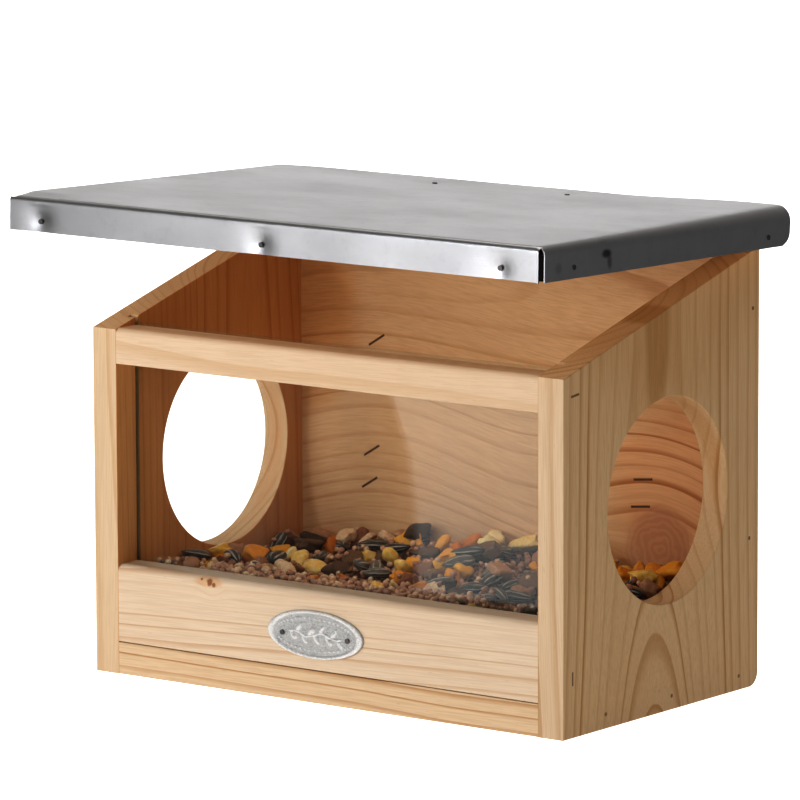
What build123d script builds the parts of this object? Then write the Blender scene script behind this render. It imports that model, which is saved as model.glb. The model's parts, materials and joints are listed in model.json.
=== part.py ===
from build123d import *
import os
from math import atan2, cos, degrees, radians, sin, tan

# Pine bird feeder: two round side openings, a clear front pane and a zinc covered lid hinged at the back.
# Frame: X right, Y back, Z up, origin in the middle of the base. The lid stands raised at rest.

# ---------------------------------------------------------------- driving dimensions, millimetres and degrees
BOX_WIDTH = 250.0
BOX_DEPTH = 143.0
FRONT_HEIGHT = 151.0
ROOF_PITCH = 15.4
BOARD = 13.0
FLOOR_THICKNESS = 14.0
EASED_EDGE = 0.5

SIDE_HOLE_DIAMETER = 88.0
SIDE_HOLE_Y = 4.0
SIDE_HOLE_Z = 90.0
SIDE_FOOT_RADIUS = 6.0

RAIL_BOTTOM = 136.0
RAIL_TOP = 151.5
RAIL_ROUND = 2.5
FRONT_BOARD_BOTTOM = 14.3
FRONT_BOARD_TOP = 48.3
FRONT_BOARD_ROUND = 3.0

PANE_THICKNESS = 2.0
PANE_TOP = 152.5
PANE_SLACK = 0.2
GROOVE_DEPTH = 4.0

LID_WIDTH = 279.0
LID_DEPTH = 180.0
LID_REST_TILT = 1.42
LID_REAR_GAP = 0.2
LID_BOARD_SETBACK = 5.0
SHEET = 0.6
SHEET_FLANGE = 14.1
SHEET_SIDE_BEND = 3.0
SHEET_FRONT_BEND = 1.5
SHEET_SLACK = 0.1
CORNER_SLIT = 1.1

HINGE_X = 70.0
HINGE_WIDTH = 25.0
HINGE_LEAF = 1.0
HINGE_LEAF_LENGTH = 16.0
KNUCKLE_RADIUS = 2.0
PIN_RADIUS = 0.85
PIN_CLEARANCE = 0.05
KNUCKLE_GAP = 0.2

BATTEN_X = 73.0
BATTEN_WIDTH = 22.0
BATTEN_BOTTOM = 55.0
BATTEN_TOP = 150.0

HANGER_THICKNESS = 1.5
HANGER_WIDTH = 16.0
HANGER_BOTTOM = 124.0
HANGER_TOP = 168.0
HANGER_HOLE_DIAMETER = 7.0
HANGER_HOLE_Z = 160.0
HANGER_SCREW_Z = (130.0, 143.0)

BADGE_X = -4.0
BADGE_Z = 29.7
BADGE_WIDTH = 51.0
BADGE_HEIGHT = 21.0
BADGE_PLATE = 0.7
BADGE_RIM = 0.6
BADGE_RIM_WIDTH = 1.6
BADGE_NAIL_SPREAD = 17.4

SEED_FRONT_HEIGHT = 45.0
SEED_BACK_HEIGHT = 57.0
SEED_CLEARANCE = 0.3

BRAD_RADIUS = 0.6
BRAD_HEAD_RADIUS = 0.85
BRAD_LENGTH = 32.0
TACK_RADIUS = 0.6
TACK_HEAD_RADIUS = 1.1
TACK_HEAD = 0.6
TACK_LENGTH = 12.0
SCREW_RADIUS = 1.25
SCREW_HEAD_RADIUS = 2.3
SCREW_HEAD_DEPTH = 1.05
SCREW_LENGTH = 10.0
STAPLE_WIRE = 1.0

# ---------------------------------------------------------------- derived places
half_width = BOX_WIDTH / 2
inside_half = half_width - BOARD
front_y = -BOX_DEPTH / 2
rear_y = BOX_DEPTH / 2
back_panel_y = rear_y - BOARD
board_back_y = front_y + BOARD
pane_front_y = board_back_y + PANE_SLACK
pane_back_y = pane_front_y + PANE_THICKNESS
roof_rise = tan(radians(ROOF_PITCH))
batten_rear_y = rear_y + BOARD
hanger_rear_y = batten_rear_y + HANGER_THICKNESS


def roof_height(y):
    """Height of the sloped top of the side panels at depth y."""
    return FRONT_HEIGHT + (y - front_y) * roof_rise


# The pin sits behind the back panel, level with its top edge.
hinge_y = rear_y + KNUCKLE_RADIUS
hinge_z = 190.25
lid_back = Vector(0, cos(radians(LID_REST_TILT)), -sin(radians(LID_REST_TILT)))
lid_up = Vector(0, sin(radians(LID_REST_TILT)), cos(radians(LID_REST_TILT)))
hinge_point = Vector(0, hinge_y, hinge_z)

# Lid frame: origin on the hinge pin, x across, y to the lid's back edge, z out of its top.
lid_plane = Plane(origin=hinge_point, x_dir=(1, 0, 0), z_dir=lid_up)
board_under = KNUCKLE_RADIUS
board_over = board_under + BOARD
sheet_over = board_over + SHEET
sheet_under = sheet_over - SHEET_FLANGE
lid_rear = -LID_REAR_GAP
lid_front = lid_rear - LID_DEPTH


def lid_section(x):
    """Plane across the lid at x, with local x to the back and local y out of the lid's top."""
    return Plane(origin=hinge_point + Vector(x, 0, 0), x_dir=lid_back, z_dir=(1, 0, 0))


def lid_face(distance):
    """Plane parallel to the lid's front edge, facing forward, that far in front of the pin."""
    return Plane(origin=hinge_point - lid_back * distance, x_dir=(1, 0, 0), z_dir=lid_back * -1)


def lid_side(x):
    """Plane at the lid's right side, facing out, with local x to the back and local y up."""
    return Plane(origin=hinge_point + Vector(x, 0, 0), x_dir=lid_back, z_dir=(1, 0, 0))


def rear_plane(y):
    """Plane facing the back, with local x to the left and local y up."""
    return Plane(origin=(0, y, 0), x_dir=(-1, 0, 0), z_dir=(0, 1, 0))


def front_plane(y):
    """Plane facing the front, with local x to the right and local y up."""
    return Plane(origin=(0, y, 0), x_dir=(1, 0, 0), z_dir=(0, -1, 0))


def save(builder, label):
    """Label a finished piece and write its file."""
    builder.part.label = label
    export_step(builder.part, f"parts/{label}.step")


# ---------------------------------------------------------------- fastener shapes
def drive_nails(plane, spots, radius, head_radius, head, length, proud=0.0):
    """Round nails into a plane: the head's top stands proud of the plane, the shank goes in."""
    with BuildSketch(plane.offset(proud)) as outline:
        with Locations(*spots):
            Circle(head_radius)
    extrude(outline.sketch, amount=-head)
    with BuildSketch(plane.offset(proud - head)) as outline:
        with Locations(*spots):
            Circle(radius)
    extrude(outline.sketch, amount=-(length - head))


def drive_screws(plane, spots, recess=True):
    """Countersunk cross-head screws, flush with the plane. Without the recess they are the holes."""
    with BuildSketch(plane) as outline:
        with Locations(*spots):
            Circle(SCREW_HEAD_RADIUS)
    extrude(outline.sketch, amount=-SCREW_HEAD_DEPTH, taper=45)
    with BuildSketch(plane.offset(-SCREW_HEAD_DEPTH)) as outline:
        with Locations(*spots):
            Circle(SCREW_RADIUS)
    extrude(outline.sketch, amount=-(SCREW_LENGTH - SCREW_HEAD_DEPTH))
    if recess:
        with BuildSketch(plane) as outline:
            with Locations(*spots):
                Rectangle(2.4, 0.5)
                Rectangle(0.5, 2.4)
        extrude(outline.sketch, amount=-0.7, mode=Mode.SUBTRACT)


def drive_staple(point, along, outward, crown, leg):
    """One wire staple with its crown let into the surface and two legs going in."""
    plane = Plane(origin=point, x_dir=along, z_dir=Vector(*along).cross(Vector(*outward)))
    with BuildSketch(plane) as outline:
        Rectangle(crown, STAPLE_WIRE, align=(Align.CENTER, Align.MAX))
        with GridLocations(crown - STAPLE_WIRE, 0, 2, 1):
            Rectangle(STAPLE_WIRE, leg, align=(Align.CENTER, Align.MAX))
    extrude(outline.sketch, amount=STAPLE_WIRE / 2, both=True)


# ---------------------------------------------------------------- fasteners of the box
floor_brads = [(front_y + 30.2, 6.2), (front_y + 78.2, 6.0), (front_y + 128.5, 6.2)]
back_brads = [(rear_y - 7.0, 65.0), (rear_y - 5.0, 164.0)]
with BuildPart() as side_brads:
    drive_nails(
        Plane.YZ.offset(half_width), floor_brads + back_brads,
        BRAD_RADIUS, BRAD_HEAD_RADIUS, 0.8, BRAD_LENGTH,
    )
    mirror(about=Plane.YZ)
save(side_brads, "side_brads")

# Narrow staples hold the rail (crown level) and the front board (crown upright) between the sides.
rail_staple = ((half_width, front_y + 8.2, 143.4), (0, 1, 0.1))
board_staple = ((half_width, front_y + 6.5, 25.0), (0, 0, 1))
with BuildPart() as side_staples:
    for point, along in (rail_staple, board_staple):
        drive_staple(point, along, (1, 0, 0), crown=5.8, leg=22.0)
    mirror(about=Plane.YZ)
save(side_staples, "side_staples")

# Wide staples go through the back panel into the hanging battens. The left ones were driven at a slant.
LEFT_SLANT = 31.5
RIGHT_SLANT = 6.0
batten_staple_spots = [
    (-70.0, 134.0, LEFT_SLANT), (-73.0, 84.2, LEFT_SLANT), (-74.2, 69.7, LEFT_SLANT),
    (72.0, 134.0, RIGHT_SLANT), (73.8, 86.0, RIGHT_SLANT), (72.5, 74.0, RIGHT_SLANT),
]
with BuildPart() as batten_staples:
    for x, z, slant in batten_staple_spots:
        crown_way = (cos(radians(slant)), 0, sin(radians(slant)))
        drive_staple((x, back_panel_y, z), crown_way, (0, -1, 0), crown=10.0, leg=22.0)
save(batten_staples, "batten_staples")

hanger_screw_spots = [(side * BATTEN_X, z) for side in (-1, 1) for z in HANGER_SCREW_Z]
with BuildPart() as hanger_screws:
    drive_screws(rear_plane(hanger_rear_y), hanger_screw_spots)
save(hanger_screws, "hanger_screws")
with BuildPart() as hanger_screw_holes:
    drive_screws(rear_plane(hanger_rear_y), hanger_screw_spots, recess=False)

hinge_screw_x = [side * HINGE_X + step for side in (-1, 1) for step in (-7.5, 7.5)]
hinge_box_spots = [(x, hinge_z - 10.0) for x in hinge_screw_x]
with BuildPart() as hinge_box_screws:
    drive_screws(rear_plane(rear_y + HINGE_LEAF), hinge_box_spots)
save(hinge_box_screws, "hinge_box_screws")
with BuildPart() as hinge_box_screw_holes:
    drive_screws(rear_plane(rear_y + HINGE_LEAF), hinge_box_spots, recess=False)

leaf_under_point = hinge_point + lid_up * (board_under - HINGE_LEAF)
under_lid = Plane(origin=leaf_under_point, x_dir=(1, 0, 0), z_dir=lid_up * -1)
hinge_lid_spots = [(x, 10.0) for x in hinge_screw_x]
with BuildPart() as hinge_lid_screws:
    drive_screws(under_lid, hinge_lid_spots)
save(hinge_lid_screws, "hinge_lid_screws")
with BuildPart() as hinge_lid_screw_holes:
    drive_screws(under_lid, hinge_lid_spots, recess=False)

badge_face_y = front_y - BADGE_PLATE
with BuildPart() as badge_nails:
    drive_nails(
        front_plane(badge_face_y),
        [(BADGE_X - BADGE_NAIL_SPREAD, BADGE_Z - 0.6), (BADGE_X + BADGE_NAIL_SPREAD, BADGE_Z - 0.6)],
        TACK_RADIUS, TACK_HEAD_RADIUS, TACK_HEAD, 9.0, proud=TACK_HEAD,
    )
save(badge_nails, "badge_nails")

# ---------------------------------------------------------------- side panels
with BuildPart() as side_right:
    with BuildSketch(Plane.YZ.offset(inside_half)):
        with BuildLine():
            Polyline(
                (front_y, 0), (rear_y, 0), (rear_y, roof_height(rear_y)), (front_y, FRONT_HEIGHT),
                close=True,
            )
        make_face()
        fillet(vertices().sort_by(Axis.X)[-2:].sort_by(Axis.Y)[0], SIDE_FOOT_RADIUS)
        with Locations((SIDE_HOLE_Y, SIDE_HOLE_Z)):
            Circle(SIDE_HOLE_DIAMETER / 2, mode=Mode.SUBTRACT)
    extrude(amount=BOARD)
    outer_rim = faces().sort_by(Axis.X)[-1].edges()
    hole_rims = edges().filter_by(GeomType.CIRCLE).filter_by(lambda e: e.radius > 40)
    fillet(outer_rim + hole_rims, EASED_EDGE)
    with BuildSketch(Plane.XY.offset(FLOOR_THICKNESS)):
        with Locations((inside_half, pane_front_y - PANE_SLACK)):
            Rectangle(GROOVE_DEPTH, PANE_THICKNESS + 2 * PANE_SLACK, align=(Align.MIN, Align.MIN))
    extrude(amount=FRONT_HEIGHT, mode=Mode.SUBTRACT)
    add(side_brads.part, mode=Mode.SUBTRACT)
    add(side_staples.part, mode=Mode.SUBTRACT)
save(side_right, "side_right")

with BuildPart() as side_left:
    mirror(side_right.part, about=Plane.YZ)
save(side_left, "side_left")


# ---------------------------------------------------------------- boards between the sides
def cross_board(y_front, y_back, z_low, z_high):
    """A plain board that fills the inside width."""
    with BuildSketch(Plane.YZ.offset(-inside_half)) as outline:
        with Locations((y_front, z_low)):
            Rectangle(y_back - y_front, z_high - z_low, align=(Align.MIN, Align.MIN))
    extrude(outline.sketch, amount=2 * inside_half)


with BuildPart() as floor_board:
    cross_board(front_y, rear_y, 0, FLOOR_THICKNESS)
    fillet(edges().filter_by(Axis.X).sort_by(Axis.Y)[:2], EASED_EDGE)
    add(side_brads.part, mode=Mode.SUBTRACT)
save(floor_board, "floor_board")

BACK_TOP_GAP = 0.8
with BuildPart() as back_panel:
    with BuildSketch(Plane.YZ.offset(-inside_half)):
        with BuildLine():
            Polyline(
                (back_panel_y, FLOOR_THICKNESS), (rear_y, FLOOR_THICKNESS),
                (rear_y, roof_height(rear_y) - BACK_TOP_GAP),
                (back_panel_y, roof_height(back_panel_y) - BACK_TOP_GAP),
                close=True,
            )
        make_face()
    extrude(amount=2 * inside_half)
    for fasteners in (side_brads, batten_staples, hinge_box_screw_holes):
        add(fasteners.part, mode=Mode.SUBTRACT)
save(back_panel, "back_panel")

with BuildPart() as top_rail:
    cross_board(front_y, board_back_y, RAIL_BOTTOM, RAIL_TOP)
    front_edges = edges().filter_by(Axis.X).sort_by(Axis.Y)[:2]
    fillet(front_edges.sort_by(Axis.Z)[-1], RAIL_ROUND)
    fillet(edges().filter_by(Axis.X).sort_by(Axis.Z)[:2].sort_by(Axis.Y)[0], EASED_EDGE)
    add(side_staples.part, mode=Mode.SUBTRACT)
save(top_rail, "top_rail")

with BuildPart() as front_board:
    cross_board(front_y, board_back_y, FRONT_BOARD_BOTTOM, FRONT_BOARD_TOP)
    front_edges = edges().filter_by(Axis.X).sort_by(Axis.Y)[:2]
    fillet(front_edges.sort_by(Axis.Z)[-1], FRONT_BOARD_ROUND)
    fillet(edges().filter_by(Axis.X).sort_by(Axis.Z)[:2].sort_by(Axis.Y)[0], EASED_EDGE)
    for fasteners in (side_staples, badge_nails):
        add(fasteners.part, mode=Mode.SUBTRACT)
save(front_board, "front_board")

with BuildPart() as window_pane:
    pane_width = 2 * (inside_half + GROOVE_DEPTH - 2 * PANE_SLACK)
    with BuildSketch(Plane.XY.offset(FLOOR_THICKNESS)):
        with Locations((0, pane_front_y)):
            Rectangle(pane_width, PANE_THICKNESS, align=(Align.CENTER, Align.MIN))
    extrude(amount=PANE_TOP - FLOOR_THICKNESS)
save(window_pane, "window_pane")

# Loose seed: a low heap that rises to the back panel, a little clear of the walls.
with BuildPart() as seed_mix:
    seed_front = pane_back_y + SEED_CLEARANCE
    seed_back = back_panel_y - SEED_CLEARANCE
    with BuildSketch(Plane.YZ.offset(-(inside_half - SEED_CLEARANCE))):
        with BuildLine():
            heap_top = Spline(
                (seed_back, SEED_BACK_HEIGHT), (seed_back - 45, SEED_BACK_HEIGHT - 5),
                (seed_front, SEED_FRONT_HEIGHT),
            )
            Polyline(
                (seed_front, SEED_FRONT_HEIGHT), (seed_front, FLOOR_THICKNESS),
                (seed_back, FLOOR_THICKNESS), (seed_back, SEED_BACK_HEIGHT),
            )
        make_face()
    extrude(amount=2 * (inside_half - SEED_CLEARANCE))
save(seed_mix, "seed_mix")

# ---------------------------------------------------------------- badge
with BuildPart() as badge_plate:
    with BuildSketch(front_plane(front_y)):
        with Locations((BADGE_X, BADGE_Z)):
            Ellipse(BADGE_WIDTH / 2, BADGE_HEIGHT / 2)
    extrude(amount=BADGE_PLATE)
    with BuildSketch(front_plane(badge_face_y)):
        with Locations((BADGE_X, BADGE_Z)):
            Ellipse(BADGE_WIDTH / 2, BADGE_HEIGHT / 2)
            Ellipse(
                BADGE_WIDTH / 2 - BADGE_RIM_WIDTH, BADGE_HEIGHT / 2 - BADGE_RIM_WIDTH,
                mode=Mode.SUBTRACT,
            )
    extrude(amount=BADGE_RIM)
    fillet(faces().sort_by(Axis.Y)[0].edges(), 0.25)
    add(badge_nails.part, mode=Mode.SUBTRACT)
save(badge_plate, "badge_plate")


# ---------------------------------------------------------------- hanging battens and their plates
def batten(x):
    """Upright batten behind the back panel that keeps the box off the wall."""
    with BuildSketch(rear_plane(rear_y)) as outline:
        with Locations((-x, (BATTEN_BOTTOM + BATTEN_TOP) / 2)):
            Rectangle(BATTEN_WIDTH, BATTEN_TOP - BATTEN_BOTTOM)
    extrude(outline.sketch, amount=BOARD)
    fillet(edges().filter_by(Axis.Z).sort_by(Axis.Y)[-2:], 1.0)
    add(batten_staples.part, mode=Mode.SUBTRACT)
    add(hanger_screw_holes.part, mode=Mode.SUBTRACT)


with BuildPart() as batten_left:
    batten(-BATTEN_X)
save(batten_left, "batten_left")

with BuildPart() as batten_right:
    batten(BATTEN_X)
save(batten_right, "batten_right")

with BuildPart() as hanger_plates:
    with BuildSketch(rear_plane(batten_rear_y)):
        with Locations(*[(side * BATTEN_X, (HANGER_BOTTOM + HANGER_TOP) / 2) for side in (-1, 1)]):
            RectangleRounded(HANGER_WIDTH, HANGER_TOP - HANGER_BOTTOM, 5.0)
        with Locations(*[(side * BATTEN_X, HANGER_HOLE_Z) for side in (-1, 1)]):
            Circle(HANGER_HOLE_DIAMETER / 2, mode=Mode.SUBTRACT)
    extrude(amount=HANGER_THICKNESS)
    add(hanger_screw_holes.part, mode=Mode.SUBTRACT)
save(hanger_plates, "hanger_plates")


# ---------------------------------------------------------------- hinges
knuckle = (HINGE_WIDTH - 2 * KNUCKLE_GAP) / 3


def knuckle_barrel(section, x_starts, bore_radius):
    """Barrels around the pin, one for each start along the hinge, for both hinges."""
    for side in (-1, 1):
        for start in x_starts:
            with BuildSketch(section(side * HINGE_X - HINGE_WIDTH / 2 + start)) as outline:
                Circle(KNUCKLE_RADIUS)
                Circle(bore_radius, mode=Mode.SUBTRACT)
            extrude(outline.sketch, amount=knuckle)


def box_section(x):
    """Plane across the box at x through the pin, with local x to the back and local y up."""
    return Plane(origin=hinge_point + Vector(x, 0, 0), x_dir=(0, 1, 0), z_dir=(1, 0, 0))


outer_starts = (0.0, 2 * (knuckle + KNUCKLE_GAP))
middle_start = (knuckle + KNUCKLE_GAP,)

with BuildPart() as hinge_box_leaves:
    for side in (-1, 1):
        with BuildSketch(box_section(side * HINGE_X - HINGE_WIDTH / 2)):
            with Locations((-KNUCKLE_RADIUS, 0)):
                Rectangle(HINGE_LEAF, HINGE_LEAF_LENGTH, align=(Align.MIN, Align.MAX))
        extrude(amount=HINGE_WIDTH)
    relief = KNUCKLE_RADIUS + KNUCKLE_GAP
    for side in (-1, 1):
        with BuildSketch(box_section(side * HINGE_X - knuckle / 2 - KNUCKLE_GAP)):
            Circle(relief)
        extrude(amount=knuckle + 2 * KNUCKLE_GAP, mode=Mode.SUBTRACT)
    knuckle_barrel(box_section, outer_starts, PIN_RADIUS)
    for side in (-1, 1):
        for start in outer_starts:
            with BuildSketch(box_section(side * HINGE_X - HINGE_WIDTH / 2 + start)):
                Circle(PIN_RADIUS)
            extrude(amount=knuckle, mode=Mode.SUBTRACT)
    add(hinge_box_screw_holes.part, mode=Mode.SUBTRACT)
save(hinge_box_leaves, "hinge_box_leaves")

with BuildPart() as hinge_lid_leaves:
    for side in (-1, 1):
        with BuildSketch(lid_section(side * HINGE_X - HINGE_WIDTH / 2)):
            with Locations((0, KNUCKLE_RADIUS)):
                Rectangle(HINGE_LEAF_LENGTH, HINGE_LEAF, align=(Align.MAX, Align.MAX))
        extrude(amount=HINGE_WIDTH)
    for side in (-1, 1):
        for start in outer_starts:
            reach = knuckle + KNUCKLE_GAP
            shift = 0.0 if start == 0 else -KNUCKLE_GAP
            with BuildSketch(lid_section(side * HINGE_X - HINGE_WIDTH / 2 + start + shift)):
                Circle(relief)
            extrude(amount=reach, mode=Mode.SUBTRACT)
    knuckle_barrel(lid_section, middle_start, PIN_RADIUS + PIN_CLEARANCE)
    for side in (-1, 1):
        with BuildSketch(lid_section(side * HINGE_X - HINGE_WIDTH / 2 + middle_start[0])):
            Circle(PIN_RADIUS + PIN_CLEARANCE)
        extrude(amount=knuckle, mode=Mode.SUBTRACT)
    add(hinge_lid_screw_holes.part, mode=Mode.SUBTRACT)
save(hinge_lid_leaves, "hinge_lid_leaves")

with BuildPart() as hinge_pins:
    for side in (-1, 1):
        with BuildSketch(box_section(side * HINGE_X - HINGE_WIDTH / 2)):
            Circle(PIN_RADIUS)
        extrude(amount=HINGE_WIDTH)
save(hinge_pins, "hinge_pins")

# ---------------------------------------------------------------- lid
NAIL_LEVEL = 6.0
with BuildPart() as lid_front_nails:
    drive_nails(
        lid_face(-lid_front), [(-123.6, NAIL_LEVEL), (-4.3, NAIL_LEVEL - 0.4), (118.8, NAIL_LEVEL)],
        TACK_RADIUS, TACK_HEAD_RADIUS, TACK_HEAD, TACK_LENGTH, proud=TACK_HEAD,
    )
save(lid_front_nails, "lid_front_nails")

with BuildPart() as lid_side_nails:
    drive_nails(
        lid_side(LID_WIDTH / 2), [(-158.5, NAIL_LEVEL), (-17.7, NAIL_LEVEL)],
        TACK_RADIUS, TACK_HEAD_RADIUS, TACK_HEAD, TACK_LENGTH, proud=TACK_HEAD,
    )
    mirror(about=Plane.YZ)
save(lid_side_nails, "lid_side_nails")

with BuildPart() as lid_top_nails:
    drive_nails(
        lid_plane.offset(sheet_over), [(-36.0, -17.5), (34.0, -16.0)],
        TACK_RADIUS, TACK_HEAD_RADIUS, TACK_HEAD, TACK_LENGTH, proud=TACK_HEAD,
    )
save(lid_top_nails, "lid_top_nails")

lid_way = Axis(origin=(0, 0, 0), direction=tuple(lid_back))


def lid_block(half, y_front, y_back, z_low, z_high, side_round, front_round):
    """A slab in the lid's frame with its long top edges rounded, rear end square."""
    with BuildSketch(lid_section(-half)) as outline:
        with Locations((y_front, z_low)):
            Rectangle(y_back - y_front, z_high - z_low, align=(Align.MIN, Align.MIN))
    extrude(outline.sketch, amount=2 * half)
    fillet(edges().filter_by(lid_way).sort_by(Axis.Z)[-2:], side_round)
    across = edges().filter_by(Axis.X)
    fillet(across.sort_by(Axis.Y)[:2].sort_by(Axis.Z)[-1], front_round)


board_half = LID_WIDTH / 2 - SHEET - SHEET_SLACK
board_front = lid_front + SHEET + SHEET_SLACK
with BuildPart() as lid_board:
    lid_block(
        board_half, board_front, lid_rear - LID_BOARD_SETBACK, board_under, board_over,
        SHEET_SIDE_BEND, SHEET_FRONT_BEND,
    )
    for fasteners in (lid_front_nails, lid_side_nails, lid_top_nails, hinge_lid_screw_holes):
        add(fasteners.part, mode=Mode.SUBTRACT)
save(lid_board, "lid_board")

# The cover is one sheet folded down at the front and sides, slit at each front corner. On the left the
# front flange covers the slit.
FLANGE_END_SLANT = 4.0
with BuildPart() as sheet_inside:
    lid_block(
        LID_WIDTH / 2 - SHEET, lid_front + SHEET, lid_rear + 1.0, sheet_under - 1.0, board_over,
        SHEET_SIDE_BEND - SHEET, SHEET_FRONT_BEND - SHEET,
    )
with BuildPart() as lid_sheet:
    lid_block(
        LID_WIDTH / 2, lid_front, lid_rear, sheet_under, sheet_over, SHEET_SIDE_BEND, SHEET_FRONT_BEND,
    )
    add(sheet_inside.part, mode=Mode.SUBTRACT)
    slit_top = sheet_over - 2.0
    with BuildSketch(lid_face(-lid_front + 1.0)):
        with Locations((LID_WIDTH / 2, sheet_under)):
            Rectangle(2 * CORNER_SLIT, slit_top - sheet_under, align=(Align.CENTER, Align.MIN))
    extrude(amount=-(CORNER_SLIT + 1.0), mode=Mode.SUBTRACT)
    with BuildSketch(lid_face(-lid_front - SHEET)):
        with Locations((-LID_WIDTH / 2, sheet_under)):
            Rectangle(2 * CORNER_SLIT, slit_top - sheet_under, align=(Align.CENTER, Align.MIN))
    extrude(amount=-CORNER_SLIT, mode=Mode.SUBTRACT)
    with BuildSketch(lid_section(-LID_WIDTH / 2)):
        with BuildLine():
            Polyline(
                (lid_rear, sheet_over - 2 * SHEET), (lid_rear - FLANGE_END_SLANT, sheet_under),
                (lid_rear, sheet_under), close=True,
            )
        make_face()
    extrude(amount=LID_WIDTH, mode=Mode.SUBTRACT)
    for fasteners in (lid_front_nails, lid_side_nails, lid_top_nails):
        add(fasteners.part, mode=Mode.SUBTRACT)
save(lid_sheet, "lid_sheet")

# ---------------------------------------------------------------- sizes that other files repeat
closed_tilt = degrees(atan2(hinge_z - FRONT_HEIGHT, hinge_y - front_y)) + degrees(
    atan2(board_under, hinge_y - front_y)
)
print(f"lid touches the front corners at {closed_tilt + LID_REST_TILT:.2f} degrees below its rest")
print(f"hinge pin at y {hinge_y:.2f}, z {hinge_z:.2f}; hanger holes at y {hanger_rear_y:.2f}")
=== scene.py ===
import json
import random
from math import asin, copysign, cos, exp, hypot, pi, radians, sin

import bmesh
import bpy
import numpy as np
from mathutils import Euler, Matrix, Vector, noise


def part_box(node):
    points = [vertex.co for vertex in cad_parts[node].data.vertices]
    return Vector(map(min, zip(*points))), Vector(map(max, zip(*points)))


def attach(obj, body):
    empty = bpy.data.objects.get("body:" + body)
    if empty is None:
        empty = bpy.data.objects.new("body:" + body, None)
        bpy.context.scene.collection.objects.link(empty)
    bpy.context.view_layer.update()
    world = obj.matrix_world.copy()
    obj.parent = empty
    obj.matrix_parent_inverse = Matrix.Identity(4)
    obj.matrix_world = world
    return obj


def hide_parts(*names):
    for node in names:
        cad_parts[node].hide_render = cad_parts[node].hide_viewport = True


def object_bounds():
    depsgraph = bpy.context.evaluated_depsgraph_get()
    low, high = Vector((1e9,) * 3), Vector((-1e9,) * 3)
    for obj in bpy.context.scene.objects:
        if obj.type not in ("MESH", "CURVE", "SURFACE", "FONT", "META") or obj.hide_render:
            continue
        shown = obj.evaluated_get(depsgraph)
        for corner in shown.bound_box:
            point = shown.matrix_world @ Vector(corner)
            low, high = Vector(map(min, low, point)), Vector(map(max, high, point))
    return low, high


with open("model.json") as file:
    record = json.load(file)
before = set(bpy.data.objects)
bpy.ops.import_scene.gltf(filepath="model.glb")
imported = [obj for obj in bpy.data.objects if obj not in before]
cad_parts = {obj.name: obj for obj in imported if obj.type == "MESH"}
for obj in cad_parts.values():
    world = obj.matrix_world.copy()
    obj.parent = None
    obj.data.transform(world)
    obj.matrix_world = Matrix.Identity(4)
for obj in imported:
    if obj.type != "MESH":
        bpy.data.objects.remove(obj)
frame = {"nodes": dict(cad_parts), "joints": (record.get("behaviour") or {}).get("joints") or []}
cad_low, cad_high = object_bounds()
nodes = frame["nodes"]
MM = 0.001
scene = bpy.context.scene

# ---------- places taken from the frame
hinge_axis = Vector(frame["joints"][0]["pos_m"])
sheet_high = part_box("lid_sheet")[1]
board_low, board_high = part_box("lid_board")
side_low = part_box("side_right")[0]
floor_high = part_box("floor_board")[1]
heap_low, heap_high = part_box("seed_mix")
badge_low, badge_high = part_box("badge_plate")
rail_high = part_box("top_rail")[1]
LID_TILT = radians(1.42)
LID_BACK = Vector((0, cos(LID_TILT), -sin(LID_TILT)))
LID_UP = Vector((0, sin(LID_TILT), cos(LID_TILT)))


def in_lid(x, y, z):
    """Point of the frame for a point of the lid: origin on the hinge axis, y to its back, z up."""
    return hinge_axis + Vector((x, 0, 0)) + LID_BACK * y + LID_UP * z


def solid_boxes(node):
    """Corners of the box round each separate solid of a node, such as each nail of a group."""
    bm = bmesh.new()
    bm.from_mesh(nodes[node].data)
    bmesh.ops.remove_doubles(bm, verts=bm.verts, dist=1e-6)
    left = set(bm.verts)
    boxes = []
    while left:
        group, todo = [], [left.pop()]
        while todo:
            v = todo.pop()
            group.append(v.co.copy())
            for e in v.link_edges:
                other = e.other_vert(v)
                if other in left:
                    left.remove(other)
                    todo.append(other)
        boxes.append((Vector([min(c) for c in zip(*group)]), Vector([max(c) for c in zip(*group)])))
    bm.free()
    return boxes


# ---------- material helpers
def new_material(name):
    """An empty material, its net of nodes, and the place on the object in millimetres."""
    m = bpy.data.materials.new(name)
    m.use_nodes = True
    m.node_tree.nodes.clear()
    net = Net(m.node_tree)
    place = net.vec("SCALE", net.node("TexCoord").outputs["Object"], scale=1000)
    return m, net, place


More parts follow.
